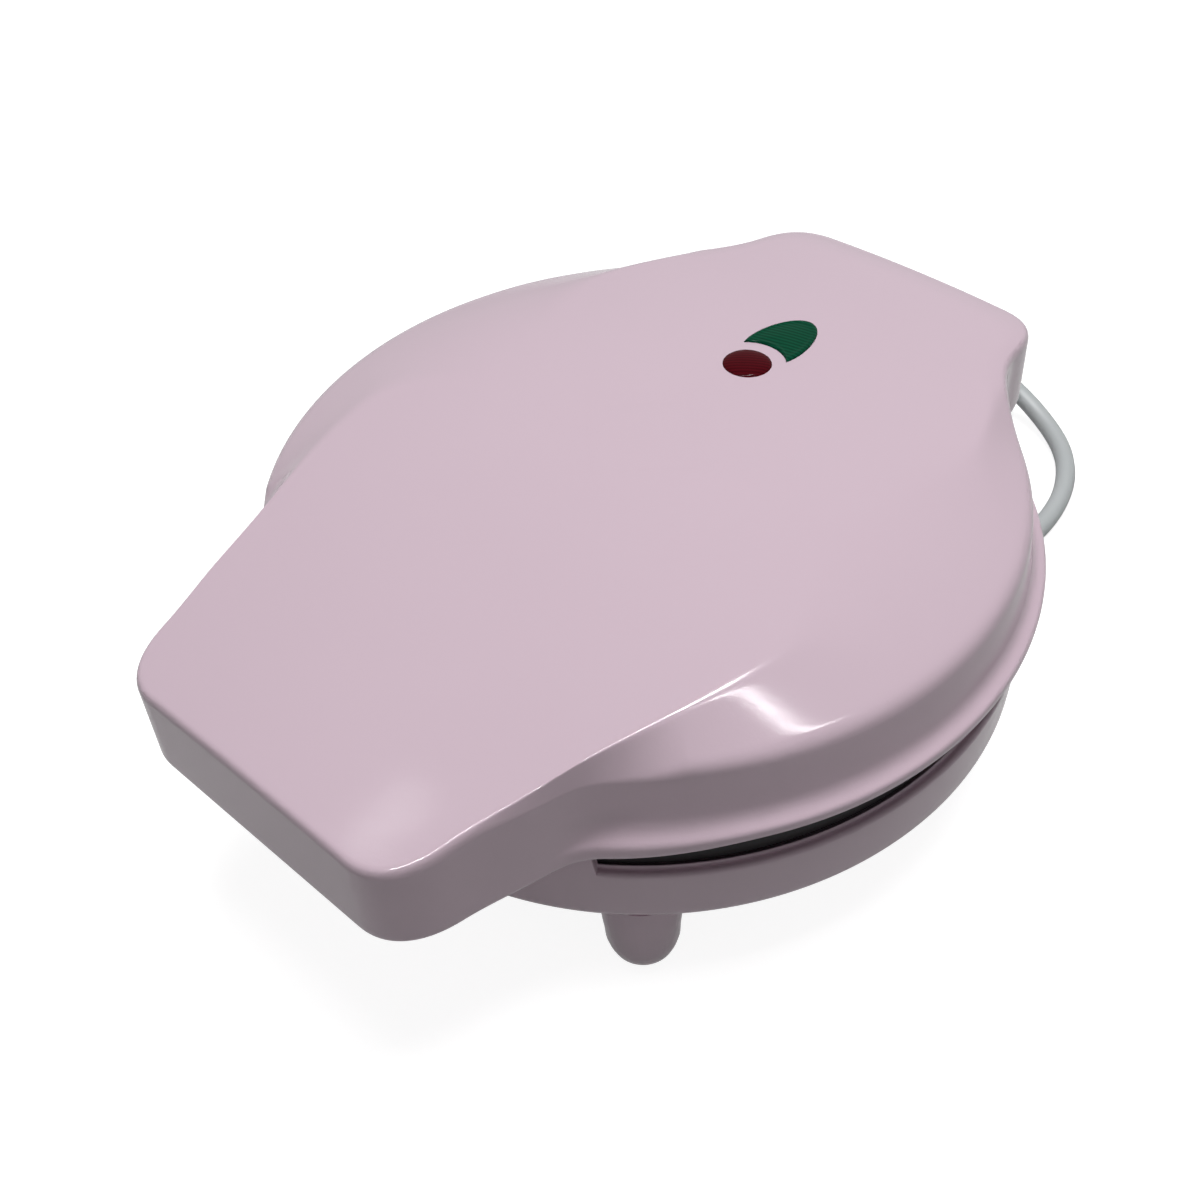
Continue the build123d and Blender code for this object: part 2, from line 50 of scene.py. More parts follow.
# Half width of the handle band against y, from the handle to the rear
BAND = [(-130, 56.0), (-112, 60.8), (-92, 66.0), (-70, 73.2), (-45, 79.4), (-20, 82.0), (0, 82.6),
        (20, 82.0), (45, 77.8), (70, 70.0), (92, 60.2), (116, 50.0)]
CREASE_REAR_Y = 131.6
WALL_REAR_Y = 136.4
WALL_R, WALL_TOP = 112.0, 90.0
FLARE_TOP, LIP_R, LIP_Z = 75.0, 118.0, 66.5
HANDLE_Z = 62.0
SEAT_R, SEAT_TOP = 108.0, 74.9
CHAMBER_R, CHAMBER_FOOT = 104.6, 80.0
BASE_R, RIM_Z = 114.0, 51.5
SCREW_RING_R = 97.5
ROUND_LAMP_Y, ROUND_LAMP_R, LEAF_GAP_R = 48.0, 7.5, 11.9
HINGE_Y, HINGE_Z = REAR_Y - 3.1, 62.0
GLAND = (-20.0, REAR_Y + 3.0, 34.0)
RELIEF_LENGTH = 24.0
CORD_R = 3.5
COIL = (-85.0, 168.0, 4.4)
COIL_TURNS, COIL_OUTER, COIL_PITCH, COIL_LAYER = 3.5, 44.5, 9.0, 7.6


# Mesh making

def place(points):
    """Points in millimetres about the body's axis, as points of the frame in metres."""
    return (np.asarray(points, float).reshape(-1, 3) + (0, FORWARD, 0)) * 0.001


def tidy_mesh(name, points, faces, sharp=35.0):
    """A closed piece from its points and faces, with doubles merged and its normals outwards."""
    mesh = bpy.data.meshes.new(name)
    mesh.from_pydata([tuple(p) for p in points], [], [tuple(int(i) for i in f) for f in faces])
    work = bmesh.new()
    work.from_mesh(mesh)
    bmesh.ops.remove_doubles(work, verts=work.verts, dist=4e-6)
    bmesh.ops.dissolve_degenerate(work, edges=work.edges, dist=1e-7)
    bmesh.ops.recalc_face_normals(work, faces=work.faces)
    work.to_mesh(mesh)
    work.free()
    mesh.shade_smooth()
    mesh.set_sharp_from_angle(angle=radians(sharp))
    piece = bpy.data.objects.new(name, mesh)
    bpy.context.collection.objects.link(piece)
    return piece


def stacked(rings):
    """Points and faces of a skin through rings of equal count; its first and last ring are closed."""
    rings = np.asarray(rings, float)
    count, around, _ = rings.shape
    points = list(rings.reshape(-1, 3)) + [rings[0].mean(0), rings[-1].mean(0)]
    faces, top, low = [], count * around, count * around + 1
    for i in range(around):
        j = (i + 1) % around
        faces.append((top, i, j))
        faces.append((low, (count - 1) * around + j, (count - 1) * around + i))
        for k in range(count - 1):
            a, b = k * around, (k + 1) * around
            faces.append((a + i, b + i, b + j, a + j))
    return points, faces


def joined(*shapes):
    """Several shapes of points and faces as one."""
    points, faces = [], []
    for more, sides in shapes:
        start = len(points)
        points += list(more)
        faces += [[i + start for i in side] for side in sides]
    return points, faces


def lathe(profile, around=160):
    """A closed turned shape from (radius, height) points, the first and last on or near the axis."""
    angles = np.arange(around) * 2 * pi / around
    return stacked([[(r * cos(a), r * sin(a), z) for a in angles] for r, z in profile])


def moved(shape, matrix):
    """A shape carried by a matrix."""
    points, faces = shape
    return [tuple(matrix @ Vector(p)) for p in points], faces


def finish_piece(piece, body, slot, material, *nodes):
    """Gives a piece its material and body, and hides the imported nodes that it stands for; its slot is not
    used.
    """
    piece.data.materials.clear()
    piece.data.materials.append(material)
    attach(piece, body)
    if nodes:
        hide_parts(*nodes)
    return piece


# Node trees, with maths on their sockets written as expressions

class Value:
    """A socket that can be added to and multiplied by numbers and other sockets."""

    def __init__(self, nodes, socket):
        self.nodes, self.socket = nodes, socket

    def _maths(self, operation, first, second):
        return self.nodes.node("ShaderNodeMath", {"operation": operation}, first, second)

    def __add__(self, other):
        return self._maths("ADD", self, other)

    def __radd__(self, other):
        return self._maths("ADD", other, self)

    def __mul__(self, other):
        return self._maths("MULTIPLY", self, other)

    def __rmul__(self, other):
        return self._maths("MULTIPLY", other, self)


class Nodes:
    """A node tree of any kind, built node by node."""

    def __init__(self, tree):
        self.tree = tree
        tree.nodes.clear()

    def node(self, kind, settings=None, *inputs, sockets=None, out=0, **named):
        """Adds a node with its settings, then its inputs by order, by number or by name."""
        made = self.tree.nodes.new(kind)
        for key, value in (settings or {}).items():
            setattr(made, key, value)
        by_name = {key.replace("_", " "): value for key, value in named.items()}
        for key, value in [*enumerate(inputs), *(sockets or {}).items(), *by_name.items()]:
            if isinstance(value, Value):
                self.tree.links.new(value.socket, made.inputs[key])
            elif made.inputs[key].type == "RGBA":
                made.inputs[key].default_value = (*value, 1)
            else:
                made.inputs[key].default_value = value
        return Value(self, made.outputs[out]) if made.outputs else None


class Finish(Nodes):
    """One material's nodes."""

    def __init__(self, name):
        self.material = bpy.data.materials.new(name)
        self.material.use_nodes = True
        super().__init__(self.material.node_tree)

    def place(self, scale=(1, 1, 1), turn=(0, 0, 0)):
        """Object coordinates, scaled and turned."""
        spot = self.node("ShaderNodeTexCoord", out="Object")
        return self.node("ShaderNodeMapping", {}, Vector=spot, Scale=scale, Rotation=turn)

    def noise(self, scale, detail=3.0, where=None):
        return self.node("ShaderNodeTexNoise", {}, Vector=where or self.place(), Scale=scale, Detail=detail)

    def mix(self, share, first, second):
        """A colour between two by a share: the Mix node's colours are its sockets 6 and 7."""
        sockets = {0: share, 6: first, 7: second}
        return self.node("ShaderNodeMix", {"data_type": "RGBA"}, sockets=sockets, out=2)

    def bump(self, height, strength, distance):
        return self.node("ShaderNodeBump", {}, Height=height, Strength=strength, Distance=distance)

    def done(self, surface):
        self.node("ShaderNodeOutputMaterial", {}, Surface=surface)
        return self.material


def rgb(red, green, blue):
    """A colour as seen on a screen, 0 to 255, as the linear colour that a shader takes."""
    def line(value):
        value /= 255
        return value / 12.92 if value <= 0.04045 else ((value + 0.055) / 1.055) ** 2.4
    return line(red), line(green), line(blue)


def pastel_gloss(name):
    """Glossy moulded plastic with the faint orange peel that breaks up its highlights."""
    f = Finish(name)
    broad = f.noise(9.0, 2.0)
    colour = f.mix(broad, rgb(216, 193, 206), rgb(221, 198, 211))
    peel = f.noise(900.0, 2.0) + f.noise(2600.0, 1.0) * 0.6
    rough = f.noise(40.0, 2.0) * 0.04 + 0.09
    return f.done(f.node("ShaderNodeBsdfPrincipled", {}, Base_Color=colour, Roughness=rough, IOR=1.45,
                         Normal=f.bump(peel, 0.25, 0.00006)))


def satin_black(name):
    """Non-stick coating: near black, satin, with a fine sprayed grain."""
    f = Finish(name)
    grain = f.noise(1400.0, 2.0)
    colour = f.mix(f.noise(60.0, 3.0), (0.012, 0.011, 0.012), (0.022, 0.020, 0.022))
    return f.done(f.node("ShaderNodeBsdfPrincipled", {}, Base_Color=colour, IOR=1.3,
                         Roughness=grain * 0.15 + 0.36, Normal=f.bump(grain, 0.4, 0.0001)))


def lamp_lens(name, deep, edge, turn, pitch):
    """Coloured clear plastic over a dark chamber, with fine moulded ribs."""
    f = Finish(name)
    across = f.place(turn=(0, 0, turn))
    ribs = f.node("ShaderNodeTexWave", {"wave_profile": "SIN"}, Vector=across, Scale=pitch)
    colour = f.mix(ribs, deep, edge)
    return f.done(f.node("ShaderNodeBsdfPrincipled", {}, Base_Color=colour, Roughness=0.12, IOR=1.12,
                         Normal=f.bump(ribs, 0.12, 0.0001)))


def metal(name, low, high, rough, stretch=(1, 1, 1)):
    """Plain metal with faint drawn lines."""
    f = Finish(name)
    lines = f.noise(500.0, 3.0, where=f.place(scale=stretch))
    return f.done(f.node("ShaderNodeBsdfPrincipled", {}, Base_Color=f.mix(lines, low, high), Metallic=1.0,
                         Roughness=lines * 0.15 + rough, Normal=f.bump(lines, 0.2, 0.00005)))


def plain_plastic(name, low, high, rough, grain=900.0):
    """Satin or matt plastic or rubber with a fine grain."""
    f = Finish(name)
    fine = f.noise(grain, 2.0)
    return f.done(f.node("ShaderNodeBsdfPrincipled", {}, Base_Color=f.mix(f.noise(25.0, 3.0), low, high),
                         Roughness=fine * 0.12 + rough, Normal=f.bump(fine, 0.3, 0.0001)))


finishes = {
    "pink_plastic": pastel_gloss("pastel_gloss_plastic"),
    "nonstick_plate": satin_black("satin_nonstick"),
    "red_lens": lamp_lens("red_lamp_lens", rgb(66, 5, 14), rgb(84, 9, 20), 0.9, 230.0),
    "green_lens": lamp_lens("green_lamp_lens", rgb(4, 62, 42), rgb(10, 80, 56), 1.3, 200.0),
    "inner_plastic": plain_plastic("heat_resistant_plastic", (0.62, 0.60, 0.55), (0.70, 0.68, 0.63), 0.5),
    "lamp_glass": plain_plastic("lamp_bulb_glass", (0.75, 0.70, 0.64), (0.82, 0.78, 0.72), 0.1),
    "foot_rubber": plain_plastic("grey_foot_rubber", rgb(150, 146, 148), rgb(165, 161, 163), 0.62),
    "cord_plastic": plain_plastic("white_lead_pvc", rgb(190, 195, 196), rgb(200, 205, 206), 0.40),
    "tie_plastic": plain_plastic("black_strap", (0.012, 0.012, 0.012), (0.022, 0.022, 0.022), 0.6),
    "plug_metal": metal("nickel_plate", (0.72, 0.70, 0.66), (0.82, 0.80, 0.76), 0.18),
    "steel": metal("zinc_plated_steel", (0.52, 0.52, 0.53), (0.66, 0.66, 0.66), 0.30),
    "element_metal": metal("dark_element_sheath", (0.20, 0.19, 0.18), (0.30, 0.28, 0.27), 0.42),
}
for subpart in frame["record"]["subparts"]:
    node = frame["nodes"][subpart["node"]]
    node.data.materials.clear()
    node.data.materials.append(finishes[subpart["material_slot"]])


# The handle band's outline

def smooth_through(knots, slope_first, slope_last, at):
    """A curve through (y, width) knots with given end slopes, at many y."""
    x, y = np.array(knots, float).T
    n, h = len(x), np.diff(x)
    lhs, rhs = np.zeros((n, n)), np.zeros(n)
    lhs[0, :2], rhs[0] = (2 * h[0], h[0]), 6 * ((y[1] - y[0]) / h[0] - slope_first)
    lhs[-1, -2:], rhs[-1] = (h[-1], 2 * h[-1]), 6 * (slope_last - (y[-1] - y[-2]) / h[-1])
    for i in range(1, n - 1):
        lhs[i, i - 1:i + 2] = h[i - 1], 2 * (h[i - 1] + h[i]), h[i]
        rhs[i] = 6 * ((y[i + 1] - y[i]) / h[i] - (y[i] - y[i - 1]) / h[i - 1])
    bend = np.linalg.solve(lhs, rhs)
    k = np.clip(np.searchsorted(x, at) - 1, 0, n - 2)
    a, b = (x[k + 1] - at) / h[k], (at - x[k]) / h[k]
    return a * y[k] + b * y[k + 1] + ((a**3 - a) * bend[k] + (b**3 - b) * bend[k + 1]) * h[k]**2 / 6


def bezier(p0, p1, p2, p3, count=40):
    """Points on a cubic curve."""
    t = np.linspace(0, 1, count)[:, None]
    p0, p1, p2, p3 = (np.array(p, float) for p in (p0, p1, p2, p3))
    return (1 - t)**3 * p0 + 3 * (1 - t)**2 * t * p1 + 3 * (1 - t) * t**2 * p2 + t**3 * p3


def band_radius(angles, out, rear_y):
    """Distance from the axis to the band's outline, moved outwards by out, at each angle."""
    w0, y0 = BAND[0][1], BAND[0][0]
    w1, y1 = BAND[-1][1], BAND[-1][0]
    rows = np.linspace(y0, y1, 500)
    half = np.vstack([
        np.column_stack([np.linspace(0, w0 - 17, 60), np.full(60, FRONT_Y)]),
        bezier((w0 - 17, FRONT_Y), (w0 - 7, FRONT_Y), (w0 - 1.9, y0 - 10), (w0, y0))[1:],
        np.column_stack([smooth_through(BAND, 0.19, -0.16, rows), rows])[1:],
        bezier((w1, y1), (w1 - 1.5, y1 + 9), (w1 - 4, rear_y - 0.6), (w1 - 15, rear_y - 0.3))[1:],
        np.column_stack([np.linspace(w1 - 15, 0, 40), rear_y - 0.3 * np.linspace(1, 0, 40)**2])[1:]])
    ring = np.vstack([half, (half * (-1, 1))[::-1][1:-1]])
    along = np.roll(ring, -1, 0) - np.roll(ring, 1, 0)
    along /= np.linalg.norm(along, axis=1)[:, None]
    further = out[0] + (out[1] - out[0]) * ease(ring[:, 1:], -60.0, 70.0)
    ring = ring + np.column_stack([along[:, 1], -along[:, 0]]) * further
    turned = np.arctan2(ring[:, 1], ring[:, 0])
    order = np.argsort(turned)
    return np.interp(angles, turned[order], np.hypot(*ring.T)[order], period=2 * pi)


def soft_max(a, b, blend):
    """The larger of two, rounded over where they differ by less than blend."""
    return np.maximum(a, b) + np.maximum(blend - np.abs(a - b), 0)**2 / (4 * blend)


def soft_min(a, b, blend):
    """The smaller of two, rounded over in the same way."""
    return np.minimum(a, b) - np.maximum(blend - np.abs(a - b), 0)**2 / (4 * blend)


def ease(value, low, high):
    """From 0 at low to 1 at high, level at both."""
    share = np.clip((value - low) / (high - low), 0, 1)
    return share * share * (3 - 2 * share)


def crown(x, y):
    """Height of the lid's crown, a shallow ball."""
    return TOP_Z - CROWN_R + np.sqrt(CROWN_R**2 - x * x - y * y)


def lower_edge(y):
    """Height of the lid's lower edge: the handle's, rising to the lip."""
    return HANDLE_Z + (LIP_Z - HANDLE_Z) * ease(y, -105.0, -62.0)


# Lid shell: rings from the crown's middle, over the crease and shoulder, down the wall and inside

STATIONS = 900
ARM_FROM_R = 100.0
ARM_BLEND, LIP_BLEND = 8.0, 6.0
CORNER_R = 4.8
WALL_OUT = (1.0, 2.4)
ROOF = 2.8


def lid_rings():
    """Every ring of the lid from the crown's middle outwards, down and back inside to the roof's middle."""
    angle = np.arange(STATIONS) * 2 * pi / STATIONS
    ux, uy = np.cos(angle), np.sin(angle)
    crease = band_radius(angle, (0.0, 0.0), CREASE_REAR_Y)
    arm = band_radius(angle, WALL_OUT, WALL_REAR_Y)
    cx, cy = crease * ux, crease * uy
    crease_z = crown(cx, cy)
    on_arm = np.clip((crease - ARM_FROM_R) / (WALL_R - ARM_FROM_R), 0, 1)
    wall = soft_max(np.full_like(arm, WALL_R), arm, ARM_BLEND)
    wide = wall - crease
    towards_handle = ease(-cy, 20.0, 60.0) * (1 - ease(-cy, 92.0, 128.0))
    deep = wide * (1.2 - 0.75 * ease(cy, -20.0, 60.0)) + 5.0 * towards_handle
    drop = (crease_z - WALL_TOP) * (1 - on_arm) + deep * on_arm
    slope = np.arctan2(drop, wide)
    blend = 0.9 + 5.4 * ease(cy, -34.0, -6.0) * (1 - ease(cy, 30.0, 66.0)) + 1.2 * ease(cy, 60.0, 110.0)
    trim = np.minimum(CORNER_R * np.tan((pi / 2 - slope) / 2), wide / np.cos(slope))
    round_r = trim / np.tan((pi / 2 - slope) / 2)
    straight = wide / np.cos(slope) - trim
    total = straight + round_r * (pi / 2 - slope)

    def ring(radius, height):
        return np.column_stack([radius * ux, radius * uy, height])

    def shaped(radius, outline_z):
        return soft_min(crown(radius * ux, radius * uy), outline_z, blend)

    rings = []
    for share in (0.04, 0.1, 0.18, 0.26, 0.34, 0.42, 0.5, 0.57, 0.64, 0.7, 0.76, 0.81, 0.85):
        r = crease * share
        rings.append(ring(r, shaped(r, crease_z + (crease - r) * np.tan(slope))))
    for before in (11.0, 9.0, 7.2, 5.6, 4.2, 3.0, 2.0, 1.3, 0.8, 0.4, 0.15):
        r = crease - before
        rings.append(ring(r, shaped(r, crease_z + before * np.tan(slope))))
    steps = [0.0, 0.15, 0.4, 0.8, 1.4]
    for step in range(len(steps) + 16):
        s = np.full_like(total, steps[step]) if step < len(steps) else \
            1.4 + (total - 1.4) * (step - len(steps) + 1) / 16
        on_line = np.minimum(s, straight)
        turn = slope + np.maximum(s - straight, 0) / round_r
        r = crease + on_line * np.cos(slope) + round_r * (np.sin(turn) - np.sin(slope))
        z = crease_z - on_line * np.sin(slope) - round_r * (np.cos(slope) - np.cos(turn))
        rings.append(ring(r, shaped(r, z)))
    top_z = rings[-1][:, 2]
    # Wall, flare and rolled lip of the round body, carried down further along the handle
    for share, out in ((0.85, 0.2), (0.6, 0.6), (0.35, 0.95), (0.15, 1.2)):
        r = soft_max(np.full_like(arm, WALL_R + out), arm, ARM_BLEND)
        rings.append(ring(r, FLARE_TOP + (top_z - FLARE_TOP) * share))
    # Height, radius and inset of the flare and of the lip's roll
    flare = [(FLARE_TOP, 113.4, 0), (74.0, 113.52, 0), (73.0, 113.85, 0), (72.1, 114.4, 0), (71.4, 115.1, 0),
             (70.9, 115.9, 0), (70.5, 116.7, 0), (70.2, 117.3, 0), (69.8, 117.75, 0), (69.2, LIP_R, 0),
             (68.2, LIP_R + 0.05, 0), (67.4, LIP_R, 0.0), (66.95, LIP_R, 0.12), (66.65, LIP_R, 0.45),
             (LIP_Z, LIP_R, 0.9)]
    for z, radius, inset in flare:
        r = soft_max(np.full_like(arm, radius), arm, LIP_BLEND) - inset
        deeper = (FLARE_TOP - lower_edge(r * uy)) / (FLARE_TOP - LIP_Z)
        rings.append(ring(r, FLARE_TOP - (FLARE_TOP - z) * deeper))
    outer = r
    for share in (0.12, 0.35, 0.6, 0.85, 1.0):
        r = outer + (SEAT_R - outer) * share
        rings.append(ring(r, lower_edge(r * uy)))
    inside = ((SEAT_R, 70.0), (SEAT_R, SEAT_TOP), (CHAMBER_R, SEAT_TOP), (CHAMBER_R, CHAMBER_FOOT))
    for radius, height in inside:
        rings.append(ring(radius, np.full_like(arm, height)))
    for share in (1.0, 0.96, 0.9, 0.82, 0.72, 0.6, 0.45, 0.3, 0.15, 0.04):
        r = np.full_like(arm, CHAMBER_R * share)
        rings.append(ring(r, shaped(r, crease_z + (crease - r) * np.tan(slope)) - ROOF))
    return rings


def hinge_lug(x0, x1, lug_r, pin_r, top, half=4.5, around=48):
    """A lug round the hinge pin, open for it, and straight up or down to the shell it grows from."""
    outer, inner = [], []
    for i in range(around):
        a = 2 * pi * i / around
        cy, cz = cos(a), sin(a)
        reach = lug_r
        if cz * (top - HINGE_Z) > 0:
            reach = max(reach, min(half / max(abs(cy), 1e-6), abs(top - HINGE_Z) / abs(cz)))
        outer.append((reach * cy, reach * cz))
        inner.append((pin_r * cy, pin_r * cz))
    points, faces = [], []
    for x in (x0, x1):
        for loop in (outer, inner):
            points += [(x, HINGE_Y + y, HINGE_Z + z) for y, z in loop]
    n = around
    for i in range(n):
        j = (i + 1) % n
        faces += [(i, j, n + j, n + i), (2 * n + i, 3 * n + i, 3 * n + j, 2 * n + j),
                  (i, 2 * n + i, 2 * n + j, j), (n + i, n + j, 3 * n + j, 3 * n + i)]
    return points, faces


def lug_pair(x_near, x_far, *sizes):
    """The same lug on both sides."""
    return [hinge_lug(*sorted((side * x_near, side * x_far)), *sizes) for side in (-1, 1)]


points, faces = joined(stacked(lid_rings()), *lug_pair(34.4, 40.4, 4.5, 2.55, 68.0))
lid = tidy_mesh("lid_cover", place(points), faces, 40.0)
finish_piece(lid, "lid", "pink_plastic", finishes["pink_plastic"], "lid_shell")


# Base tub: floor under the plate, ledge, rim, wall and curved underside, with the neck and rear block

PLATE_CLEAR = 111.0
NECK_HALF = 65.5
BLOCK_TOP, BLOCK_FOOT = 53.0, 22.0
LEG_AT = (66.1, 76.8)


def base_rings():
    """Every ring of the tub: its floor under the plate, the rim, the wall and the underside to its middle."""
    angle = np.arange(720) * 2 * pi / 720
    ux, uy = np.cos(angle), np.sin(angle)
    block = np.where(uy > 0.3, band_radius(angle, WALL_OUT, WALL_REAR_Y) - 0.4, 0.0)
    in_block = ease(block, 111.0, 116.0)
    in_neck = np.where(uy < 0, 1 - ease(np.abs(BASE_R * ux), NECK_HALF - 0.8, NECK_HALF + 0.8), 0.0)
    rise = in_neck * (lower_edge(WALL_R * uy) - 0.9 - RIM_Z) + in_block * (BLOCK_TOP - RIM_Z)
    rings = []

    def ring(radius, height, lifted=0.0, outside=False, inset=0.0):
        reach = np.full_like(angle, radius)
        if outside:
            reach = soft_max(reach, block, 5.0) - inset
        rings.append(np.column_stack([reach * ux, reach * uy, height + rise * lifted]))

    for radius in (30.0, 70.0, 100.0, 103.6):
        ring(radius, 45.5)
    ring(PLATE_CLEAR, 46.5)
    ledge = ((PLATE_CLEAR, 51.2), (111.05, 51.6), (111.2, 51.75), (111.4, 51.7), (111.65, 51.3),
             (111.75, 50.75))
    for radius, height in ledge:
        ring(radius, height, 1.0)
    for height, inset in ((50.7, 1.9), (50.85, 1.5), (50.85, 1.0), (50.7, 0.55), (50.4, 0.2), (49.9, 0.0)):
        ring(BASE_R, height, 1.0, True, inset)
    wall = ((BASE_R, 49.0), (113.95, 47.0), (113.9, 44.0), (113.75, 40.0), (113.55, 36.0), (113.4, 33.6),
            (113.2, 32.6), (112.7, 31.6), (111.9, 30.6))
    for radius, height in wall:
        ring(radius, height, 0.0, True)
    curve = bezier((111.9, 30.6), (106.0, 23.0), (98.0, 16.6), (82.0, 16.0), 16)[1:]
    for radius, height in curve[curve[:, 1] > BLOCK_FOOT + 1.2]:
        ring(radius, height, 0.0, True)
    for height, inset in ((BLOCK_FOOT + 0.9, 0.15), (BLOCK_FOOT + 0.3, 0.6), (BLOCK_FOOT, 1.4)):
        ring(np.interp(height, curve[::-1, 1], curve[::-1, 0]), height, 0.0, True, inset)
    for radius, height in curve[curve[:, 1] < BLOCK_FOOT - 0.1]:
        ring(radius, height)
    for radius in (70.0, 40.0, 10.0):
        ring(radius, 16.0)
    return rings


leg = [(0.2, 1.0), (4.2, 1.0), (4.3, 0.5), (5.6, 0.6), (7.0, 1.2), (8.2, 2.2), (9.2, 3.8), (10.0, 6.0),
       (10.7, 9.0), (10.9, 13.0), (11.3, 17.0), (11.5, 20.0), (11.5, 24.0), (11.4, 28.0), (11.2, 30.6),
       (0.2, 31.0)]
legs = [moved(lathe(leg, 64), Matrix.Translation((x * LEG_AT[0], y * LEG_AT[1], 0)))
        for x in (-1, 1) for y in (-1, 1)]
points, faces = joined(stacked(base_rings()), *legs, *lug_pair(26.0, 34.0, 4.0, 2.5, 51.0, 3.4))
base = tidy_mesh("base_tub", place(points), faces, 40.0)
finish_piece(base, "base", "pink_plastic", finishes["pink_plastic"], "base_shell")

# Black hoop in the gap under the lid, in the non-stick finish: partly the lower plate's edge, partly painted
# shade for the dark inside of the gap
edge = [(106.9, 53.0), (106.9, 51.8), (110.2, 51.7), (110.5, 52.1), (110.5, 59.6), (110.1, 60.2),
        (106.9, 60.3)]
HOOP = 240
angles = np.arange(HOOP) * 2 * pi / HOOP
rings = np.array([[(radius * cos(a), radius * sin(a), z) for a in angles] for radius, z in edge])
faces = []
for k in range(len(edge)):
    below, above = k * HOOP, (k + 1) % len(edge) * HOOP
    faces += [(below + i, above + i, above + (i + 1) % HOOP, below + (i + 1) % HOOP) for i in range(HOOP)]
# This black hoop is painted shade for the gap as well as the plate's edge
edge_and_shade_hoop = tidy_mesh("lower_plate_skirt", place(rings), faces)
finish_piece(edge_and_shade_hoop, "base", "nonstick_plate", finishes["nonstick_plate"])


# Repeated pieces by Geometry Nodes

def repeated(name, pattern, carrier, carrier_sizes, shift, turn, material):
    """Copies of a pattern on the points of a carrier shape, realised into one plain mesh."""
    tree = bpy.data.node_groups.new(name, "GeometryNodeTree")
    face = tree.interface
    face.new_socket("Geometry", in_out="OUTPUT", socket_type="NodeSocketGeometry")
    kinds = {int: "NodeSocketInt", float: "NodeSocketFloat"}
    values = {"Pattern": (pattern, "NodeSocketObject"), "Finish": (material, "NodeSocketMaterial"),
              "Shift": (shift, "NodeSocketVector"), "Turn": (turn, "NodeSocketVector")}
    values |= {key: (value, kinds[type(value)]) for key, value in carrier_sizes.items()}
    sockets = {key: face.new_socket(key, in_out="INPUT", socket_type=kind)
               for key, (value, kind) in values.items()}
    nodes = Nodes(tree)

    def given(key):
        return nodes.node("NodeGroupInput", {}, out=key)

    carrier_sockets = {key.replace(" ", "_"): given(key) for key in carrier_sizes}
    spots = nodes.node(carrier, {}, out="Mesh", **carrier_sockets)
    placed = nodes.node("GeometryNodeTransform", {}, Geometry=spots, Translation=given("Shift"),
                        Rotation=given("Turn"))
    one = nodes.node("GeometryNodeObjectInfo", {}, out="Geometry", Object=given("Pattern"))
    copies = nodes.node("GeometryNodeInstanceOnPoints", {}, Points=placed, Instance=one)
    real = nodes.node("GeometryNodeRealizeInstances", {}, Geometry=copies)
    painted = nodes.node("GeometryNodeSetMaterial", {}, Geometry=real, Material=given("Finish"))
    nodes.node("NodeGroupOutput", {}, painted)
    holder = bpy.data.objects.new(name + "_maker", bpy.data.meshes.new(name + "_maker"))
    bpy.context.collection.objects.link(holder)
    modifier = holder.modifiers.new(name, "NODES")
    modifier.node_group = tree
    for key, (value, _) in values.items():
        modifier[sockets[key].identifier] = value
    bpy.context.view_layer.update()
    made = bpy.data.meshes.new_from_object(holder.evaluated_get(bpy.context.evaluated_depsgraph_get()))
    made.name = name
    bpy.data.objects.remove(holder)
    bpy.data.objects.remove(pattern)
    piece = bpy.data.objects.new(name, made)
    bpy.context.collection.objects.link(piece)
    piece.data.set_sharp_from_angle(angle=radians(35))
    return piece


def pattern_piece(name, shape):
    """A pattern for copies: in metres about its own middle."""
    points, faces = shape
    piece = tidy_mesh(name, np.asarray(points, float) * 0.001, faces)
    bpy.context.view_layer.update()
    return piece


def screw_shape(way):
    """A pan-head screw with a recess, its head facing +Z or -Z by way."""
    head = [(0.15, -1.3), (0.5, -1.25), (0.9, -0.15), (1.6, 0.0), (2.6, -0.25), (3.3, -0.8), (3.6, -1.5),
            (3.6, -1.9), (2.0, -1.95), (2.0, -9.0), (1.4, -10.5), (0.15, -11.0)]
    return lathe([(radius, z * way) for radius, z in head], 24)


for side, body, way, height in (("lower", "base", 1, 64.1), ("upper", "lid", -1, 67.5)):
    pattern = pattern_piece(side + "_screw", screw_shape(way))
    screws = repeated(side + "_plate_screws", pattern, "GeometryNodeMeshCircle",
                      {"Vertices": 5, "Radius": SCREW_RING_R * 0.001},
                      (0, FORWARD * 0.001, height * 0.001), (0, 0, radians(36 - 90)), finishes["steel"])
    finish_piece(screws, body, "steel", finishes["steel"],
                 *[f"{side}_plate_screw_{i}" for i in range(1, 6)])

pad_profile = [(0.1, 0.0), (3.0, 0.0), (3.7, 0.35), (3.9, 1.0), (3.9, 3.0), (0.1, 3.0)]
pad = pattern_piece("foot_pad", lathe(pad_profile, 32))
pads = repeated("foot_pads", pad, "GeometryNodeMeshGrid",
                {"Size X": LEG_AT[0] * 0.002, "Size Y": LEG_AT[1] * 0.002, "Vertices X": 2, "Vertices Y": 2},
                (0, FORWARD * 0.001, 0), (0, 0, 0), finishes["foot_rubber"])
finish_piece(pads, "base", "foot_rubber", finishes["foot_rubber"], *[f"foot_pad_{i}" for i in range(1, 5)])


# Signal lamp lenses

def capped(outline, centre, profile):
    """A lens through an outline round its centre: (share of the outline, height over the crown) rings."""
    outline = np.asarray(outline, float)
    middle = np.array(centre, float)
    rings = []
    for share, height in profile:
        flat = middle + (outline - middle) * share
        rings.append(np.column_stack([flat, crown(flat[:, 0], flat[:, 1]) + height]))
    return stacked(rings)


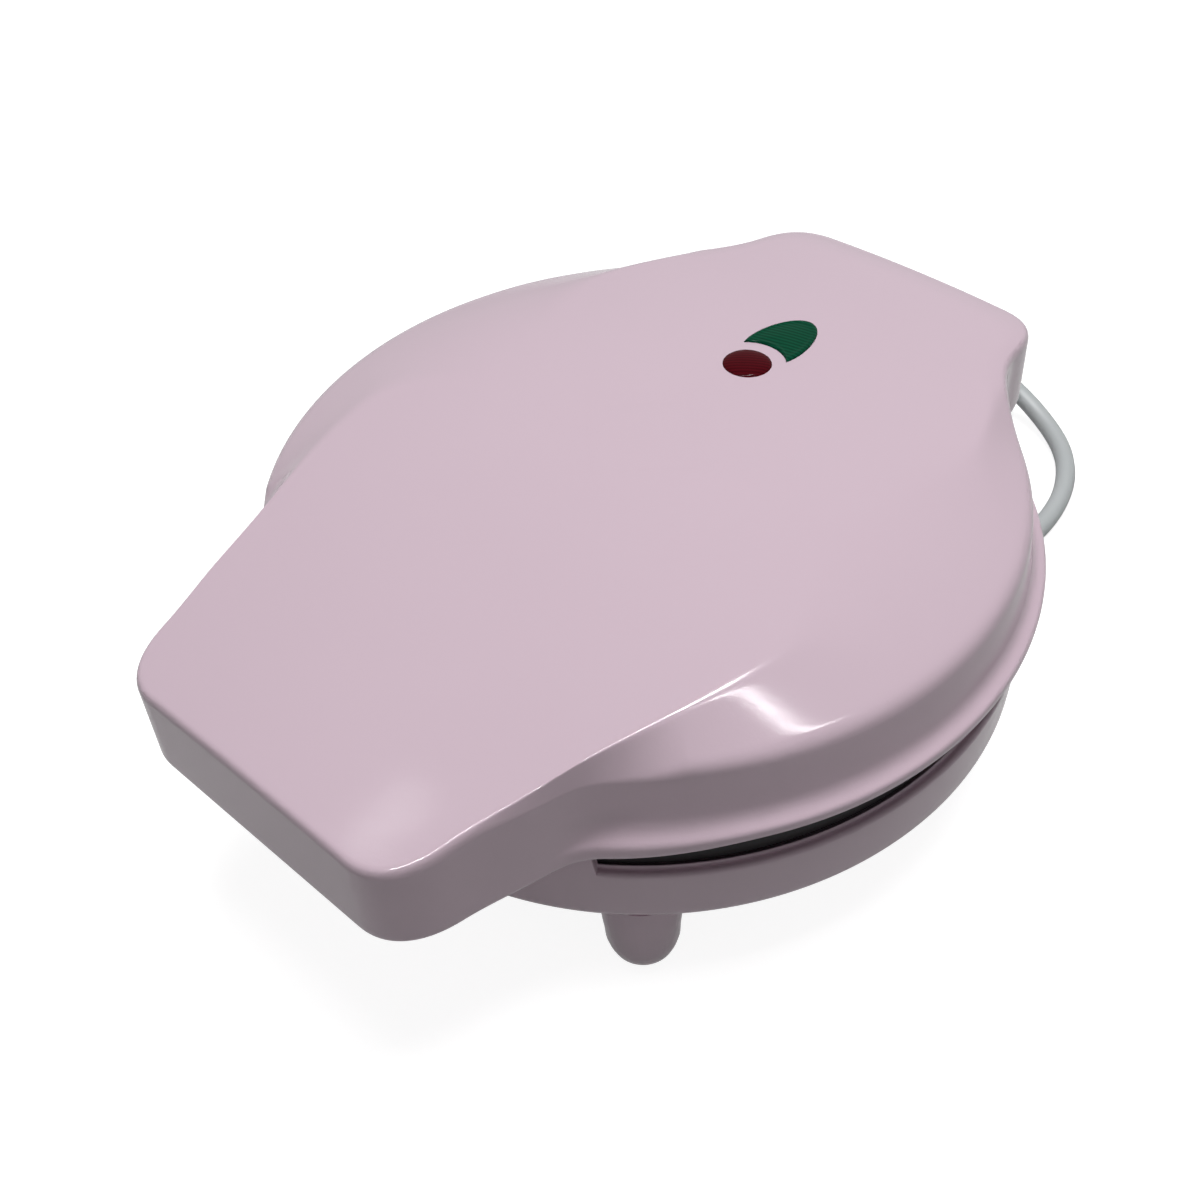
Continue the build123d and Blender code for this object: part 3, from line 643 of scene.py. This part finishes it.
LENS_PROFILE = [(0.05, 0.95), (0.25, 0.93), (0.5, 0.86), (0.7, 0.76), (0.8, 0.70), (0.84, 0.80), (0.88, 0.85),
                (0.93, 0.78), (0.97, 0.60), (0.995, 0.30), (1.0, 0.0), (1.0, -4.0), (0.5, -4.0)]


def leaf_outline():
    """Rounded leaf beside the round lamp: its hollow side runs round that lamp, its tips are small."""
    hollow = [(LEAF_GAP_R * sin(a), ROUND_LAMP_Y + LEAF_GAP_R * cos(a)) for a in np.linspace(-0.72, 0.72, 30)]
    side = bezier((8.35, 56.7), (10.6, 64.0), (6.6, 79.6), (0.0, 79.6), 40)
    right = np.vstack([[(8.1, 56.5), (8.3, 56.5)], side])
    return np.vstack([hollow, right, (right * (-1, 1))[::-1][1:]])


DOME_PROFILE = [(0.04, 1.25), (0.2, 1.23), (0.4, 1.16), (0.6, 1.03), (0.75, 0.86), (0.86, 0.66), (0.94, 0.42),
                (0.985, 0.16), (1.0, -0.1), (1.0, -4.0), (0.5, -4.0)]
circle = [(ROUND_LAMP_R * cos(a), ROUND_LAMP_Y + ROUND_LAMP_R * sin(a))
          for a in np.linspace(0, 2 * pi, 96, endpoint=False)]
caps = (("red_lamp_cap", "red_lens", circle, (0, ROUND_LAMP_Y), DOME_PROFILE),
        ("green_lamp_cap", "green_lens", leaf_outline(), (0, 67.5), LENS_PROFILE))
for name, slot, outline, centre, profile in caps:
    points, faces = capped(outline, centre, profile)
    cap = tidy_mesh(name, place(points), faces, 50.0)
    finish_piece(cap, "lid", slot, finishes[slot], slot)


# Mains lead: the route on one smooth curve, the coil's turns and the short tail to the plug

ROUTE = [(GLAND[0], GLAND[1] + RELIEF_LENGTH, GLAND[2]), (GLAND[0], 174, GLAND[2]), (-18, 184, 32),
         (-13, 191, 27), (-6, 196, 21.5), (4, 198.5, 15), (15.5, 199, 9.5), (27, 196, 5.6), (37.5, 190, 3.8),
         (46, 181, 3.6), (52.5, 169.5, 3.6), (56.5, 156, 3.6), (58, 140, 3.6), (55.5, 122, 3.6),
         (47, 106, 3.6), (33, 95, 3.6), (15, 91, 3.6), (-5, 94.5, 3.6), (-22.5, 104, 3.6), (-35, 118, 3.8),
         (-41.5, 134, 4.2), (-40.5, 149, 4.4)]


def coil_point(turn):
    """The coil after so many turns: inwards on the floor, up in half a turn, outwards on top."""
    spiral = (COIL_TURNS - 0.5) / 2
    inner = COIL_OUTER - spiral * COIL_PITCH
    rise = min(max((turn - spiral) / 0.5, 0.0), 1.0)
    radius = COIL_OUTER - min(turn, spiral) * COIL_PITCH
    if rise >= 1:
        radius = inner + (turn - spiral - 0.5) * COIL_PITCH
    a = 2 * pi * turn
    height = COIL[2] + COIL_LAYER * rise * rise * (3 - 2 * rise)
    return COIL[0] + radius * cos(a), COIL[1] + radius * sin(a), height


def lead_points():
    """Route from the gland, the coil and the tail that rises a little into the plug."""
    turns = [coil_point(i / 24) for i in range(int(COIL_TURNS * 24) + 1)]
    last = turns[-1]
    level = (last[0], last[1] - 2 * CORD_R - 14.0, last[2])
    tilt = radians(10)
    end = (level[0], level[1] - 9.2 * cos(tilt), level[2] + 9.2 * sin(tilt))
    return ROUTE + turns + [(last[0], last[1] - 7.0, last[2]), level, end]


curve = bpy.data.curves.new("mains_lead", "CURVE")
curve.dimensions = "3D"
curve.bevel_depth = CORD_R * 0.001
curve.bevel_resolution = 5
curve.resolution_u = 6
curve.use_fill_caps = True
spline = curve.splines.new("NURBS")
control = place(lead_points())
spline.points.add(len(control) - 1)
for spot, here in zip(spline.points, control):
    spot.co = (*here, 1)
spline.order_u = 3
spline.use_endpoint_u = True
lead = bpy.data.objects.new("mains_lead", curve)
bpy.context.collection.objects.link(lead)
lead.data.materials.append(finishes["cord_plastic"])
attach(lead, "base")
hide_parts("cord", "cord_coil", "cord_tail")


# Studio

def soft_box(name, towards, distance, size, power, target=(0, 0, 0.06)):
    """A square or long lamp at a distance from its target, facing it; size is in metres, power in watts."""
    lamp = bpy.data.lights.new(name, "AREA")
    lamp.shape = "RECTANGLE"
    lamp.size, lamp.size_y, lamp.energy = size[0], size[1], power
    holder = bpy.data.objects.new(name, lamp)
    bpy.context.collection.objects.link(holder)
    towards = Vector(towards).normalized()
    holder.location = Vector(target) + towards * distance
    holder.rotation_euler = (-towards).to_track_quat("-Z", "Y").to_euler()
    return holder


# The first three only make the highlights, and the last only lights
for name, towards, size, power, target in (
        ("overhead_box", (0.345, 0.235, 0.91), (0.045, 0.17), 0.9, (0.087, -0.043, 0.096)),
        ("front_strip", (0.05, 0.0, 1.0), (1.2, 0.10), 26.0, (0.065, -0.15, 0.095)),
        ("left_window", (-0.455, 0.04, 0.89), (0.16, 0.05), 0.12, (0.042, -0.134, 0.092))):
    soft_box(name, towards, 1.3, size, power, target).visible_diffuse = False
soft_box("ceiling_bounce", (0.05, 0.10, 1.0), 1.5, (0.8, 0.8), 18.5).visible_glossy = False


def brightness(nodes, mirrored):
    """1 for what the camera sees, less in reflections and 0 for the light that is spread."""
    def ray(kind):
        return nodes.node("ShaderNodeLightPath", {}, out=f"Is {kind} Ray")
    return ray("Camera") + ray("Transmission") + ray("Glossy") * mirrored


f = Finish("pale_floor")
paint = f.node("ShaderNodeBsdfDiffuse", {}, Color=(0.38, 0.38, 0.38))
glow = f.node("ShaderNodeEmission", {}, Color=(1, 1, 1), Strength=brightness(f, 0.4) * 0.90)
floor_finish = f.done(f.node("ShaderNodeAddShader", {}, paint, glow))
bpy.ops.mesh.primitive_plane_add(size=8.0, location=(0, 0, -0.0002))
floor = bpy.context.object
floor.name = "studio_floor"
floor.data.materials.append(floor_finish)

world = bpy.data.worlds.new("studio_air")
bpy.context.scene.world = world
world.use_nodes = True
air = Nodes(world.node_tree)
AMBIENT = 0.13
strength = brightness(air, 0.45) * (1 - AMBIENT) + AMBIENT
sky = air.node("ShaderNodeBackground", {}, Color=(1, 1, 1), Strength=strength)
air.node("ShaderNodeOutputWorld", {}, sky)

# Camera of the photograph, as fitted to its outline
azimuth, elevation, roll = radians(46.06), radians(44.34), radians(-4.10)
back = Vector((sin(azimuth) * cos(elevation), -cos(azimuth) * cos(elevation), sin(elevation)))
right = Vector((cos(azimuth), sin(azimuth), 0))
up = right.cross(-back)
across = right * cos(roll) + up * sin(roll)
upward = up * cos(roll) - right * sin(roll)
lens = bpy.data.cameras.new("photo_camera")
lens.sensor_width, lens.lens = 36.0, 47.286
camera = bpy.data.objects.new("photo_camera", lens)
bpy.context.collection.objects.link(camera)
camera.matrix_world = Matrix.Translation((0.24529, -0.25095, 0.38767)) @ \
    Matrix((across, upward, back)).transposed().to_4x4()
bpy.context.scene.camera = camera
bpy.context.scene.view_settings.view_transform = "Standard"
